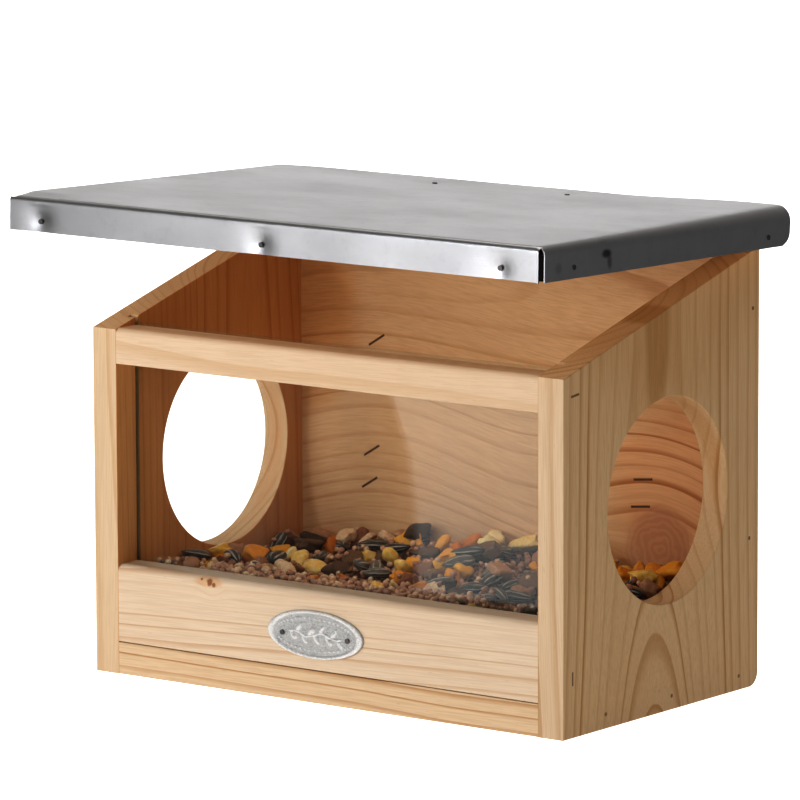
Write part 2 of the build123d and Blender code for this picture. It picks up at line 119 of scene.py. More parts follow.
class Net:
    """Short names for building a node tree."""

    def __init__(self, tree):
        self.tree = tree

    def node(self, kind, **settings):
        n = self.tree.nodes.new("ShaderNode" + kind)
        for key, value in settings.items():
            setattr(n, key, value)
        return n

    def put(self, socket, value):
        """Link a socket or set its value. A colour may leave out its alpha."""
        if isinstance(value, bpy.types.NodeSocket):
            self.tree.links.new(value, socket)
        elif value is not None:
            alpha = socket.type == "RGBA" and len(value) == 3
            socket.default_value = (*value, 1) if alpha else value

    def fill(self, n, **inputs):
        for key, value in inputs.items():
            self.put(n.inputs[key.replace("_", " ")], value)

    def feed(self, n, *values):
        """Fill the first inputs in their order."""
        for socket, value in zip(n.inputs, values):
            self.put(socket, value)
        return n.outputs[0]

    def math(self, operation, a, b=None, c=None, clamp=False):
        return self.feed(self.node("Math", operation=operation, use_clamp=clamp), a, b, c)

    def plus(self, a, b, clamp=False):
        return self.math("ADD", a, b, clamp=clamp)

    def minus(self, a, b):
        return self.math("SUBTRACT", a, b)

    def times(self, a, b, clamp=False):
        return self.math("MULTIPLY", a, b, clamp=clamp)

    def mad(self, a, b, c):
        """a * b + c"""
        return self.math("MULTIPLY_ADD", a, b, c)

    def bell(self, value):
        """1 at value 0, falling off on both sides as a bell curve."""
        return self.math("EXPONENT", self.times(self.times(value, value), -1))

    def vec(self, operation, a, b=None, scale=None):
        n = self.node("VectorMath", operation=operation)
        self.feed(n, a, b)
        if scale is not None:
            self.put(n.inputs["Scale"], scale)
        return n.outputs["Value"] if operation in ("LENGTH", "DISTANCE", "DOT_PRODUCT") else n.outputs[0]

    def split(self, vector):
        n = self.node("SeparateXYZ")
        self.put(n.inputs[0], vector)
        return n.outputs

    def axis(self, vector, name):
        """The part of a vector along the axis x, y or z."""
        return self.split(vector)["xyz".index(name)]

    def join(self, x, y, z):
        return self.feed(self.node("CombineXYZ"), x, y, z)

    def noise(self, vector, scale, detail=2, roughness=0.5, colour=False):
        n = self.node("TexNoise")
        self.fill(n, Vector=vector, Scale=scale, Detail=detail, Roughness=roughness)
        return n.outputs["Color" if colour else "Fac"]

    def ramp(self, fac, stops):
        n = self.node("ValToRGB")
        while len(n.color_ramp.elements) < len(stops):
            n.color_ramp.elements.new(0.5)
        for element, (place, *colour) in zip(n.color_ramp.elements, stops):
            element.position = place
            element.color = (*colour, 1)
        return self.feed(n, fac)

    def mix(self, fac, a, b, blend="MIX"):
        n = self.node("Mix", data_type="RGBA", blend_type=blend)
        for place, value in (("Factor", fac), (6, a), (7, b)):
            self.put(n.inputs[place], value)
        return n.outputs[2]

    def smooth(self, value, low, high, to_low=0, to_high=1):
        """value from low to high, eased into to_low to to_high."""
        n = self.node("MapRange", interpolation_type="SMOOTHSTEP")
        return self.feed(n, value, low, high, to_low, to_high)

    def blend(self, fac, a, b):
        """Two shaders mixed."""
        return self.feed(self.node("MixShader"), fac, a, b)

    def bump(self, height, strength, distance):
        n = self.node("Bump")
        self.fill(n, Strength=strength, Distance=distance, Height=height)
        return n.outputs[0]

    def surface(self, **inputs):
        n = self.node("BsdfPrincipled")
        self.fill(n, **inputs)
        self.put(self.node("OutputMaterial").inputs[0], n.outputs[0])


# ---------- pine
LARGE_KNOT = 8.0


def pine(
    name, pith, along, spacing, pale, dark, wander=3, late=0.85, knots=(), bend=None, phase=0, seed=0,
    painted_light_and_shade_faces=(), stains_and_painted_shade=(), corner=None, bold=None,
):
    """Sawn pine cut from a log.

    pith (mm) is a point on the log's heart and along its direction. Growth rings are shells round that line,
    so faces, edges and end grain agree. spacing is a ring's width, wander how far the trunk strays, late how
    strong the dark lines are. knots are (x, y, z, size). bend is a bowed trunk's (along axis, sideways axis,
    middle, amount, limit, fading axis, its middle, reach). painted_light_and_shade_faces lists (axis, place,
    tint)
    of whole faces tinted with painted light: inner faces darker as painted shade inside the box, front faces
    cooler as painted light of the front lamps. stains_and_painted_shade lists (middle, half sizes, tint) of
    soft darker patches, some of them painted shade under the lid, in a hole's bore and in a corner of the
    box. corner is (middle, half sizes) of a box painted near black as painted shadow in a gap. bold is (axis,
    from, to, factor) where the lines grow stronger.
    """
    m, net, place = new_material(name)
    trunk = place
    for kx, ky, kz, size in knots:
        # Fibres part round a knot.
        away = net.math("DIVIDE", net.vec("DISTANCE", place, (kx, ky, kz)), size * 2.4)
        pull = net.bell(away)
        toward = net.vec("SUBTRACT", (kx, ky, kz), place)
        trunk = net.vec("ADD", trunk, net.vec("SCALE", toward, scale=net.times(pull, 0.85)))
    if bend:
        axis, side, middle, amount, limit, fade, fade_middle, fade_reach = bend
        axes = list(net.split(trunk))
        far = net.minus(axes["xyz".index(axis)], middle)
        far = net.times(far, far)
        far = net.math("DIVIDE", far, net.mad(far, 1.0 / limit ** 2, 1))
        near = net.bell(net.math("DIVIDE", net.minus(axes["xyz".index(fade)], fade_middle), fade_reach))
        side = "xyz".index(side)
        axes[side] = net.mad(net.times(far, near), amount, axes[side])
        trunk = net.join(*axes)
    turn = Vector(along).normalized().to_track_quat("Z", "Y").to_euler()
    mapping = net.node("Mapping", vector_type="TEXTURE")
    net.put(mapping.inputs["Vector"], trunk)
    mapping.inputs["Location"].default_value = pith
    mapping.inputs["Rotation"].default_value = turn
    log = mapping.outputs[0]
    x, y, z = net.split(log)

    def along_log(across, lengthwise, shift=0, detail=1, roughness=0.5, colour=False):
        """Noise drawn out along the log."""
        drawn = net.join(net.times(x, across), net.times(y, across), net.mad(z, lengthwise, shift))
        return net.noise(drawn, 1, detail, roughness, colour)

    def strayed(noise_colour, reach):
        return net.vec("SCALE", net.vec("SUBTRACT", noise_colour, (0.5, 0.5, 0.5)), scale=reach)

    # The trunk wanders slowly, so lines bend, and each ring is a little uneven.
    slow = along_log(0.012, 0.0055, seed, colour=True)
    fine = along_log(0.09, 0.013, seed + 7, 2, colour=True)
    shift = net.vec("ADD", strayed(slow, wander * 2.6), strayed(fine, wander * 0.34))
    sx, sy, _ = net.split(net.vec("ADD", log, shift))
    radius = net.math("SQRT", net.plus(net.times(sx, sx), net.times(sy, sy)))
    knot_mask = None
    for kx, ky, kz, size in knots:
        gap = net.vec("DISTANCE", place, (kx, ky, kz))
        ragged = net.mad(net.noise(place, 0.9 / size, 2), size * (0.5 if size > LARGE_KNOT else 1.1), gap)
        core = net.smooth(ragged, size * 0.95, size * 1.4, 1, 0)
        knot_mask = core if knot_mask is None else net.math("MAXIMUM", knot_mask, core)
        knot_gap = gap
    turns = net.mad(radius, 1.0 / spacing, phase)
    uneven = net.noise(net.join(net.times(turns, 0.37), seed * 1.3, 0), 1, 1)
    turns = net.mad(uneven, 1.6, turns)
    ring = net.math("FRACT", turns)
    # Each ring has its own share of late wood and its own depth of tone.
    number = net.math("FLOOR", turns)
    chance = net.node("TexWhiteNoise", noise_dimensions="1D")
    net.put(chance.inputs["W"], net.plus(number, seed * 17.3))
    one, two, _ = net.split(chance.outputs["Color"])
    start = net.mad(one, 0.42, 0.36)
    rise = net.smooth(ring, start, 0.93)
    fall = net.smooth(ring, 0.955, 1, 1, 0)
    strength = net.smooth(two, 0.1, 0.9, 0.34, 1)
    drift = net.noise(net.join(net.times(turns, 0.9), seed, net.times(z, 0.004)), 1, 1)
    line = net.times(net.times(net.math("POWER", rise, 1.4), fall), strength)
    line = net.times(line, net.smooth(drift, 0.3, 0.7, 0.5 * late, late))
    if bold:
        axis, low, high, factor = bold
        line = net.times(line, net.smooth(net.axis(place, axis), low, high, 1, factor), clamp=True)

    # Fibres run along the log: thin streaks and short dark resin ducts.
    streaks = along_log(1.7, 0.035, 0, 3, 0.62)
    ducts = net.smooth(along_log(2.3, 0.16, seed), 0.74, 0.8)
    cloud = net.noise(net.vec("MULTIPLY", log, (0.03, 0.03, 0.009)), 1, 2)

    colour = net.mix(line, pale, dark)
    colour = net.mix(net.times(net.smooth(streaks, 0.38, 0.66), 0.2), colour, tuple(c * 0.72 for c in dark))
    colour = net.mix(net.times(ducts, 0.3), colour, tuple(c * 0.42 for c in dark))
    between = tuple(0.5 * (a + b) for a, b in zip(pale, dark))
    colour = net.mix(net.smooth(cloud, 0.35, 0.75, 0, 0.22), colour, between)
    if knot_mask is not None:
        if knots[-1][3] > LARGE_KNOT:
            shells = net.mad(net.noise(place, 0.12, 2), 9, knot_gap)
            shells = net.math("SINE", net.times(shells, 2))
            knot_colour = net.mix(net.smooth(shells, -0.6, 1), (0.545, 0.325, 0.195), (0.6, 0.375, 0.235))
        else:
            knot_colour = net.mix(net.noise(place, 1.4, 3), (0.42, 0.18, 0.07), (0.16, 0.055, 0.022))
        colour = net.mix(net.times(knot_mask, 0.86), colour, knot_colour)
    # Soft patches multiply the colour; some of them are painted shade where the lid, a bore or a corner
    # shades the wood.
    for middle, half, tint in stains_and_painted_shade:
        off = net.vec("DIVIDE", net.vec("SUBTRACT", place, middle), half)
        off = net.mad(net.minus(cloud, 0.5), 0.9, net.vec("LENGTH", off))
        colour = net.mix(net.smooth(off, 0.62, 1.05, 1, 0), colour, tint, "MULTIPLY")
    # Painted shadow: within the box the wood is painted near black, as the shade in a gap.
    if corner:
        off = net.vec("ABSOLUTE", net.vec("SUBTRACT", place, corner[0]))
        ox, oy, oz = net.split(net.vec("SUBTRACT", off, corner[1]))
        in_painted_shadow = net.math("LESS_THAN", net.math("MAXIMUM", ox, net.math("MAXIMUM", oy, oz)), 0)
        colour = net.mix(in_painted_shadow, colour, (0.012, 0.01, 0.008))
    # Painted light and shade: whole faces are tinted, darker inside the box as painted shade and cooler on
    # the front as painted lamp light.
    for axis, at, tint in painted_light_and_shade_faces:
        near = net.math("LESS_THAN", net.math("ABSOLUTE", net.minus(net.axis(place, axis), at)), 0.3)
        colour = net.mix(near, colour, tint, "MULTIPLY")
    height = net.mad(line, 0.55, net.times(streaks, 0.6))
    normal = net.bump(height, 0.35, 0.00018)
    rough = net.mad(streaks, 0.16, net.mad(line, -0.1, 0.52))
    net.surface(Base_Color=colour, Roughness=rough, Normal=normal, Specular_IOR_Level=0.28)
    return m


PALE = (0.78, 0.568, 0.35)
AMBER = (0.64, 0.385, 0.175)
# Tint for painted shade on the inner faces of the box, which are darker and redder in its shade.
INNER_PAINTED_SHADE = (0.94, 0.8, 0.66)
INNER_WALL = 112.0
BACK_FACE = 58.5
front_face = side_low.y / MM

pines = {
    "side_right": pine(
        "pine_side_right", (71.1, -5.7, 0), (0, 0, 1), 5.4, PALE, (0.545, 0.3, 0.12), 2, 1.15,
        bend=("z", "x", 168, -0.00083, 900, "y", -5.7, 50), seed=1,
        # Painted shade on the inner face, and the front face tinted cooler as painted light of the front
        # lamps.
        painted_light_and_shade_faces=(("x", INNER_WALL, INNER_PAINTED_SHADE), ("y", front_face, (0.94, 1, 1.13))),
        # Painted shade at the top of the hole and in its bore, over the upper part of the side under the lid,
        # and at the back of the bore.
        stains_and_painted_shade=(
            ((125, -4, 172), (40, 11, 62), (0.8, 0.7, 0.56)),
            ((125, 8, 195), (60, 95, 85), (0.95, 0.885, 0.81)),
            ((118, 42, 110), (6.4, 22, 44), (0.93, 0.85, 0.77)),
        ),
    ),
    "side_left": pine(
        "pine_side_left", (-85, 22, 0), (0.02, -0.015, 1), 4.2, PALE, AMBER, 2.4, 1, seed=2,
        # Painted shade on the inner face, and the front face tinted cooler as painted light of the front
        # lamps.
        painted_light_and_shade_faces=(("x", -INNER_WALL, (0.93, 0.66, 0.44)), ("y", front_face, (0.95, 1, 1.11))),
        # A warmer, slightly darker patch at the back of the hole's bore.
        stains_and_painted_shade=(((-118.5, 42, 92), (6.4, 26, 60), (1, 0.9, 0.84)),),
    ),
    "front_board": pine(
        "pine_front_board", (0, -34, -30), (1, -0.01, 0.03), 4.4,
        (0.785, 0.64, 0.485), (0.62, 0.4, 0.235), 2.6, 0.95, seed=3,
        knots=((-61.6, -71, 46, 2.3), (-59.2, -71, 45, 1.9), (-66, -71, 46.6, 1)),
        stains_and_painted_shade=(((-62, -71, 46), (9, 6, 3), (0.95, 0.8, 0.66)),),
    ),
    "top_rail": pine(
        "pine_top_rail", (0, 10, 92), (1, 0.03, 0.03), 6,
        (0.765, 0.595, 0.43), (0.65, 0.43, 0.24), 3, 0.6, seed=4,
    ),
    "floor_board": pine(
        "pine_floor", (0, -28, -28), (1, 0.02, 0.01), 2.7,
        (0.775, 0.6, 0.41), (0.52, 0.28, 0.115), 2, 1.1, seed=5,
    ),
    "back_panel": pine(
        "pine_back", (0, 88, 172), (1, 0.05, 0), 6.2, PALE, (0.48, 0.225, 0.08), 5.5, 0.58,
        knots=((82, 60, 56, 19),), bold=("x", 25, 70, 2.5),
        bend=("x", "z", -66, 0.0045, 90, "z", 58, 120), phase=0.4, seed=6,
        # Painted shade on the inner face.
        painted_light_and_shade_faces=(("y", BACK_FACE, (0.99, 0.91, 0.83)),),
        # Painted shade in the upper left corner, under the lid by the left wall; then a redder, darker patch
        # on the right.
        stains_and_painted_shade=(
            ((-INNER_WALL, BACK_FACE, 150), (34, 20, 60), (0.95, 0.82, 0.66)),
            ((98, BACK_FACE, 82), (46, 20, 50), (1.02, 0.88, 0.8)),
        ),
    ),
    "lid_board": pine(
        "pine_lid", (0, -40, 150), (1, 0.02, 0.04), 4.2, PALE, AMBER, 3, 0.9, seed=7,
        # Painted shadow: a box at the board's front right corner is painted near black, as the shade seen
        # through the cover's slit.
        corner=((board_high.x / MM, board_low.y / MM, board_low.z / MM + 7), (2.4, 2.4, 12)),
    ),
    "batten_left": pine(
        "pine_batten_left", (-90, 60, 0), (0.02, 0.03, 1), 2.9, PALE, AMBER, 2, 0.8, seed=8,
    ),
    "batten_right": pine(
        "pine_batten_right", (52, 96, 0), (-0.03, 0.02, 1), 3.1, PALE, AMBER, 2, 0.8, seed=9,
    ),
}


# ---------- metals
def metal(name, colour, rough, spread=0.08, dirt=0, bump=0, metallic=1):
    """Metal that is darker in clouds; spread varies its roughness."""
    m, net, place = new_material(name)
    grain = net.noise(place, 0.9, 4, 0.6)
    clouds = net.smooth(net.noise(place, 0.25, 3), 0.42, 0.72, 0, 0.35 + dirt)
    tone = net.mix(clouds, colour, tuple(c * 0.55 for c in colour))
    net.surface(Base_Color=tone, Metallic=metallic, Roughness=net.mad(grain, spread, rough),
                Normal=net.bump(grain, bump, 0.0001))
    return m


plated = metal("plated_steel", (0.6, 0.58, 0.53), 0.3, 0.15, 0.1, 0.15)
nail_steel = metal("nail_steel", (0.22, 0.21, 0.205), 0.34, 0.2, 0.3, 0.2)
staple_wire = metal("staple_wire", (0.15, 0.075, 0.03), 0.5, 0.2, 0.2, 0.2, metallic=0.4)
brad_wire = metal("brad_wire", (0.33, 0.2, 0.1), 0.45, 0.2, 0.2, 0.2, metallic=0.35)
pin_steel = metal("pin_steel", (0.46, 0.45, 0.43), 0.25, 0.15, 0.1, 0.1)

# Painted shade of dents in the right flange: dark spots that stand in for the shading of two knocks and of a
# nail's dimple. Middle and half sizes in mm, and how dark they are.
KNOCK_PAINTED_SHADE = (
    ((139.5, -62.3, 203.3), (3, 4.6, 2.5), 0.85),
    ((139.5, -60.2, 199.8), (3, 2.2, 4.6), 0.5),
    ((139.5, -96, 201), (3, 3.4, 3.2), 0.22),
)


def zinc():
    """Rolled zinc sheet: faint cloudy spangle, fine rolling lines across, light scuffs, and dark spots
    painted as the shade of dents.
    """
    m, net, place = new_material("zinc_sheet")
    cloud = net.noise(net.vec("MULTIPLY", place, (0.02, 0.035, 0.035)), 1, 4, 0.6)
    spangle = net.noise(place, 0.16, 4, 0.65)
    rolling = net.noise(net.vec("MULTIPLY", place, (0.012, 1.3, 1.3)), 1, 2, 0.5)
    scuff = net.noise(net.vec("MULTIPLY", place, (0.9, 0.12, 0.3)), 1, 3, 0.7)
    colour = net.mix(net.smooth(cloud, 0.32, 0.7, 0, 0.55), (0.66, 0.655, 0.668), (0.56, 0.556, 0.566))
    colour = net.mix(net.smooth(spangle, 0.52, 0.72, 0, 0.22), colour, (0.46, 0.455, 0.46))
    # Painted shade: the zinc is darkened where the dents are.
    for middle, half, depth in KNOCK_PAINTED_SHADE:
        off = net.vec("LENGTH", net.vec("DIVIDE", net.vec("SUBTRACT", place, middle), half))
        colour = net.mix(net.smooth(off, 0.35, 1, depth, 0), colour, (0.06, 0.06, 0.06))
    rough = net.mad(cloud, 0.14, 0.27)
    rough = net.mad(net.smooth(scuff, 0.6, 0.75), 0.1, rough)
    height = net.mad(rolling, 0.25, net.times(spangle, 0.9))
    net.surface(Base_Color=colour, Metallic=1, Roughness=rough, Normal=net.bump(height, 0.2, 0.00035))
    return m


def acrylic():
    """Clear pane. Light passes straight through, and both faces reflect a little, more at a slant."""
    m, net, place = new_material("acrylic")
    through = net.node("BsdfTransparent")
    net.put(through.inputs[0], (0.965, 0.972, 0.968))
    shine = net.node("BsdfGlossy")
    net.put(shine.inputs["Color"], (0.84, 0.95, 1))
    smear = net.noise(net.vec("MULTIPLY", place, (0.03, 0.03, 0.012)), 1, 4, 0.6)
    net.put(shine.inputs["Roughness"], net.smooth(smear, 0.3, 0.8, 0.015, 0.06))
    haze = net.node("BsdfDiffuse")
    net.put(haze.inputs["Color"], (0.85, 0.86, 0.88))
    fresnel = net.node("Fresnel")
    net.put(fresnel.inputs["IOR"], 1.42)
    seen = net.blend(fresnel.outputs[0], through.outputs[0], shine.outputs[0])
    seen = net.blend(net.smooth(smear, 0.45, 0.85, 0.004, 0.022), seen, haze.outputs[0])
    net.put(net.node("OutputMaterial").inputs[0], seen)
    return m


def dress(node, material):
    o = nodes[node]
    o.data.materials.clear()
    o.data.materials.append(material)
    for p in o.data.polygons:
        p.material_index = 0


for node, material in pines.items():
    dress(node, material)
for material, names in (
    (acrylic(), ("window_pane",)),
    (plated, ("hinge_box_leaves", "hinge_lid_leaves", "hinge_box_screws", "hinge_lid_screws")),
    (plated, ("hanger_plates", "hanger_screws")),
    (nail_steel, ("lid_front_nails", "lid_side_nails", "lid_top_nails", "badge_nails")),
    (brad_wire, ("side_brads", "side_staples")),
    (staple_wire, ("batten_staples",)),
    (pin_steel, ("hinge_pins",)),
):
    for node in names:
        dress(node, material)


# ---------- mesh helpers
def add_object(name, data):
    o = bpy.data.objects.new(name, data)
    scene.collection.objects.link(o)
    return o


def quads(rows, columns):
    """Faces of a grid of points stored row by row, columns + 1 points in each."""
    step = columns + 1
    first = [i * step + j for i in range(rows) for j in range(columns)]
    return [[a, a + step, a + step + 1, a + 1] for a in first]


def mesh_object(name, verts, faces, material, smooth=True):
    mesh = bpy.data.meshes.new(name)
    mesh.from_pydata([tuple(v) for v in verts], [], faces)
    mesh.validate()
    mesh.materials.append(material)
    if smooth:
        mesh.shade_smooth()
    return add_object(name, mesh)


# ---------- folded zinc cover
def fold(s, flat, radius):
    """Place and drop of a point s along a strip that is flat to +-flat, then bends down a right angle."""
    sign = 1 if s >= 0 else -1
    s = abs(s)
    if s <= flat:
        return sign * s, 0.0
    arc = radius * pi / 2
    if s <= flat + arc:
        a = (s - flat) / radius
        return sign * (flat + radius * sin(a)), -radius * (1 - cos(a))
    return sign * (flat + radius), -radius - (s - flat - arc)


def stations(flat, radius, flange, step, bends=6, flange_step=1.1):
    """Places along half a folded strip, close together in the bend."""
    arc = radius * pi / 2
    count = max(2, round(flat / step))
    places = [flat * i / count for i in range(count + 1)]
    places += [flat + arc * (i + 1) / bends for i in range(bends)]
    rest = flange - radius
    count = max(2, round(rest / flange_step))
    places += [flat + arc + rest * (i + 1) / count for i in range(count)]
    return places


def unit(value):
    """The value held between 0 and 1."""
    return min(1, max(0, value))


def ripple(x, y, z):
    return noise.noise(Vector((x, y, z)))


def nail_dents():
    """Place, depth and reach in mm of the dimple that each nail pulls into the cover."""
    dents = []
    for node, depth, reach in (
        ("lid_front_nails", 1.3, 4.6), ("lid_side_nails", 0.6, 3.6), ("lid_top_nails", 0.45, 5),
    ):
        for low, high in solid_boxes(node):
            c = (low + high) / 2
            if node == "lid_front_nails":
                c.y = low.y
            elif node == "lid_side_nails":
                c.x = low.x if c.x < 0 else high.x
            else:
                c.z = high.z
            dents.append((c, depth, reach))
    return dents


def soften(u, inner, strip, nominal, radius, flange):
    """The place across the sheet that u slides to where its fold's radius has grown from nominal to radius.

    The last strip of the flat part before the fold takes up the difference, and the flange keeps its length.
    """
    s = abs(u) - inner
    flat_new = strip - (radius - nominal)
    arc_old, arc_new = nominal * pi / 2, radius * pi / 2
    if s > strip + arc_old:
        s = flat_new + arc_new + (s - strip - arc_old) * (flange - radius) / (flange - nominal)
    elif s > strip:
        s = flat_new + (s - strip) * arc_new / arc_old
    else:
        s = s * flat_new / strip
    return copysign(inner + s, u)


def zinc_cover():
    """One sheet, bent down at the front and sides. Its corners are slit and its nails pull dimples."""
    wide = sheet_high.x / MM
    over, deep, rear = 15.6, 180.2, 0.2
    side_radius, front_radius, flange, slit = 3, 1.5, 14.1, 1.1
    strip = 22
    flat_u, flat_v = wide - side_radius, deep - rear - front_radius
    dents = nail_dents()
    half_stations = stations(flat_u, side_radius, flange, 2.4)
    us = [-s for s in reversed(half_stations[1:])] + half_stations
    vs = stations(flat_v, front_radius, flange, 2.2, bends=5)
    verts, index, faces = [], {}, []

    def surface(u, v):
        y, drop_y = fold(v, flat_v, front_radius)
        # The side bends open out towards the back, where no flange stiffens them.
        back = max(0, 1 - y / 178)
        radius = side_radius + (1.6 if u < 0 else 2.2) * back ** 1.2
        if abs(u) > flat_u - strip:
            u = soften(u, flat_u - strip, strip, side_radius, radius, flange)
        x, drop_x = fold(u, wide - radius, radius)
        depth = max(0, -drop_x / flange)
        # The side flanges' rear ends slant.
        slant = 4.2 * depth ** 1.2 + 1.1 * sin(2.2 * pi * min(1, depth)) * depth
        slant += 2.4 * max(0, (depth - 0.8) / 0.2) ** 2
        y = slant + y * (deep - rear - slant) / (deep - rear)
        # The left edge lifts at the front and sinks at the back; the right edge stands up behind.
        on_left = exp(-(((x + wide) / (26 if y > 60 else 18)) ** 2))
        lift = on_left * (-0.6 + 1.75 * min(1, y / 165)) * unit((deep - y - 2) / 9)
        t = unit((x - 46) / 76)
        lift += 1.75 * t * t * (3 - 2 * t) * back ** 0.9 * unit((wide - x) / 6)
        lift += 0.3 * (1 - (x / wide) ** 2) * ripple(x * 0.016, y * 0.018, 3) * unit((deep - y) / 30)
        z = over + drop_x + drop_y + lift * max(0, 1 + drop_x / radius)
        if drop_x < -radius:
            x += copysign(0.25 * ripple(y * 0.035, drop_x * 0.05, 5) * depth, x)
        if drop_y < 0:
            y += 0.3 * ripple(x * 0.028, drop_y * 0.05, 9) * min(1, -drop_y / 8)
        p = in_lid(x * MM, -(y + rear) * MM, z * MM)
        for c, sunk, reach in dents:
            gap = (p - c).length / MM
            if gap < 4 * reach:
                amount = sunk * exp(-((gap / reach) ** 1.25))
                if drop_y < -front_radius:
                    p = p + LID_BACK * amount * MM
                elif drop_x < -radius:
                    p = p - Vector((copysign(amount * MM, x), 0, 0))
                elif drop_y == 0 and drop_x == 0:
                    p = p - LID_UP * amount * MM
        # Two knocks in the right flange near its front.
        if drop_x < -1.0 and x > 0:
            for middle, drop, half_y, half_z, sunk in (
                (137, 3.4, 2.6, 2, 0.5), (134.5, 7.5, 1.6, 3, 0.35),
            ):
                gap = hypot((y - middle) / half_y, (drop_x + drop) / half_z)
                p = p - Vector((sunk * exp(-gap * gap) * MM, 0, 0))
        return p

    slit_u = flat_u + side_radius * asin((side_radius - slit) / side_radius)
    slit_v = deep - rear - slit
    # The sheet is left out where the front corners are slit.
    for i, u in enumerate(us):
        for j, v in enumerate(vs):
            if u > slit_u + 0.01 and v > slit_v + 0.3:
                continue
            if u < -(flat_u + 0.5) and v > slit_v + 0.3:
                continue
            index[i, j] = len(verts)
            verts.append(surface(u, v))
    for i in range(len(us) - 1):
        for j in range(len(vs) - 1):
            keys = [(i, j), (i + 1, j), (i + 1, j + 1), (i, j + 1)]
            if all(k in index for k in keys):
                faces.append([index[k] for k in keys])
    # On the left the front flange runs on past the side flange's slit.
    rows = [j for j, v in enumerate(vs) if v > flat_v + 0.9]
    first = min(i for i in range(len(us)) if (i, rows[-1]) in index)
    edge = -(wide + 0.9) * MM
    column = [index[first, j] for j in rows]
    flange_end = [verts[k] for k in column]
    for reach in (0.5, 1):
        before, column = column, []
        for j, point in zip(rows, flange_end):
            p = point.copy()
            p.x += (edge - p.x) * reach
            p.z -= 0.0006 * reach if j == rows[0] else 0
            column.append(len(verts))
            verts.append(p)
        for k in range(len(rows) - 1):
            faces.append([column[k], before[k], before[k + 1], column[k + 1]])
    o = mesh_object("zinc_cover", verts, faces, zinc())
    solid = o.modifiers.new("thickness", "SOLIDIFY")
    solid.thickness = 0.6 * MM
    solid.offset = -1
    split = o.modifiers.new("edges", "EDGE_SPLIT")
    split.split_angle = radians(38)
    return o


cover = zinc_cover()
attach(cover, "lid")
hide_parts("lid_sheet")


# ---------- badge
def badge_material():
    """Worn silver: bright on the raised parts and grey in the hollows."""
    m, net, place = new_material("badge_metal")
    depth = net.node("Attribute", attribute_name="relief").outputs["Fac"]
    grain = net.noise(place, 1.6, 4, 0.6)
    colour = net.mix(net.smooth(depth, 0.12, 0.6), (0.66, 0.66, 0.655), (1, 1, 1))
    colour = net.mix(net.smooth(grain, 0.5, 0.7, 0, 0.55), colour, (0.34, 0.335, 0.325))
    worn = net.mad(net.noise(place, 0.45, 2), 2, grain)
    net.surface(Base_Color=colour, Metallic=0.6, Roughness=net.mad(grain, 0.16, 0.22),
                Normal=net.bump(worn, 0.9, 0.0005))
    return m


def badge():
    """Oval plate with a raised rim, rows of beads and a sprig of leaves and berries."""
    cx, cz = (badge_low.x + badge_high.x) / 2, (badge_low.z + badge_high.z) / 2
    rx, rz = (badge_high.x - badge_low.x) / 2 / MM, (badge_high.z - badge_low.z) / 2 / MM
    face = badge_high.y
    bumps = []
    for k in range(19):
        a = radians(24 + 132 * k / 18)
        for side in (1, -1):
            bumps.append(((rx - 4.6) * cos(a), side * (rz - 3.5) * sin(a), 0.62, 0.5, 0, 0.3))
    for k in range(-4, 5):
        x = k * 3.1
        z = 0.9 * sin(k * 1.3)
        bumps.append((x, z, 1.9, 0.45, 0.25 * cos(k * 1.3), 0.45))
        side = 1 if k % 2 else -1
        bumps.append((x + 0.9, z + 2.0 * side, 1.85, 0.95, 0.85 * side, 0.8))
        if k % 3 == 0:
            bumps.append((x - 0.9, z - 2.0 * side, 1.05, 1.05, 0, 0.85))
    rings, spokes = 46, 200
    verts, faces, relief = [], [], []

    def height(x, z, r):
        h = 0.72
        rim = (r - 0.925) / 0.055
        h += 0.62 * exp(-abs(rim) ** 3)
        for bx, bz, length, width, tilt, tall in bumps:
            dx, dz = x - bx, z - bz
            if abs(dx) > 5 or abs(dz) > 5:
                continue
            a = dx * cos(tilt) + dz * sin(tilt)
            b = -dx * sin(tilt) + dz * cos(tilt)
            h += tall * exp(-((a / length) ** 2 + (b / width) ** 2) ** 1.5)
        return h

    for i in range(rings + 1):
        r = i / rings
        r = 1 - (1 - r) ** 1.15
        for j in range(spokes if i else 1):
            a = 2 * pi * j / spokes
            x, z = r * rx * cos(a), r * rz * sin(a)
            h = height(x, z, r)
            if i == rings:
                h = 0.45
            relief.append(unit((h - 0.6) / 0.9))
            verts.append((cx + x * MM, face - h * MM, cz + z * MM))
    for j in range(spokes):
        faces.append([0, 1 + j, 1 + (j + 1) % spokes])
    for i in range(1, rings):
        a, b = 1 + (i - 1) * spokes, 1 + i * spokes
        for j in range(spokes):
            k = (j + 1) % spokes
            faces.append([a + j, b + j, b + k, a + k])
    start = len(verts)
    for j in range(spokes):
        a = 2 * pi * j / spokes
        verts.append((cx + rx * cos(a) * MM, face, cz + rz * sin(a) * MM))
        relief.append(0.2)
    last = 1 + (rings - 1) * spokes
    for j in range(spokes):
        k = (j + 1) % spokes
        faces.append([last + j, start + j, start + k, last + k])
    faces.append(list(range(start, start + spokes))[::-1])
    o = mesh_object("badge_relief", verts, faces, badge_material())
    o.data.attributes.new("relief", "FLOAT", "POINT").data.foreach_set("value", relief)
    return o


plate = badge()
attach(plate, "box")
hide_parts("badge_plate")


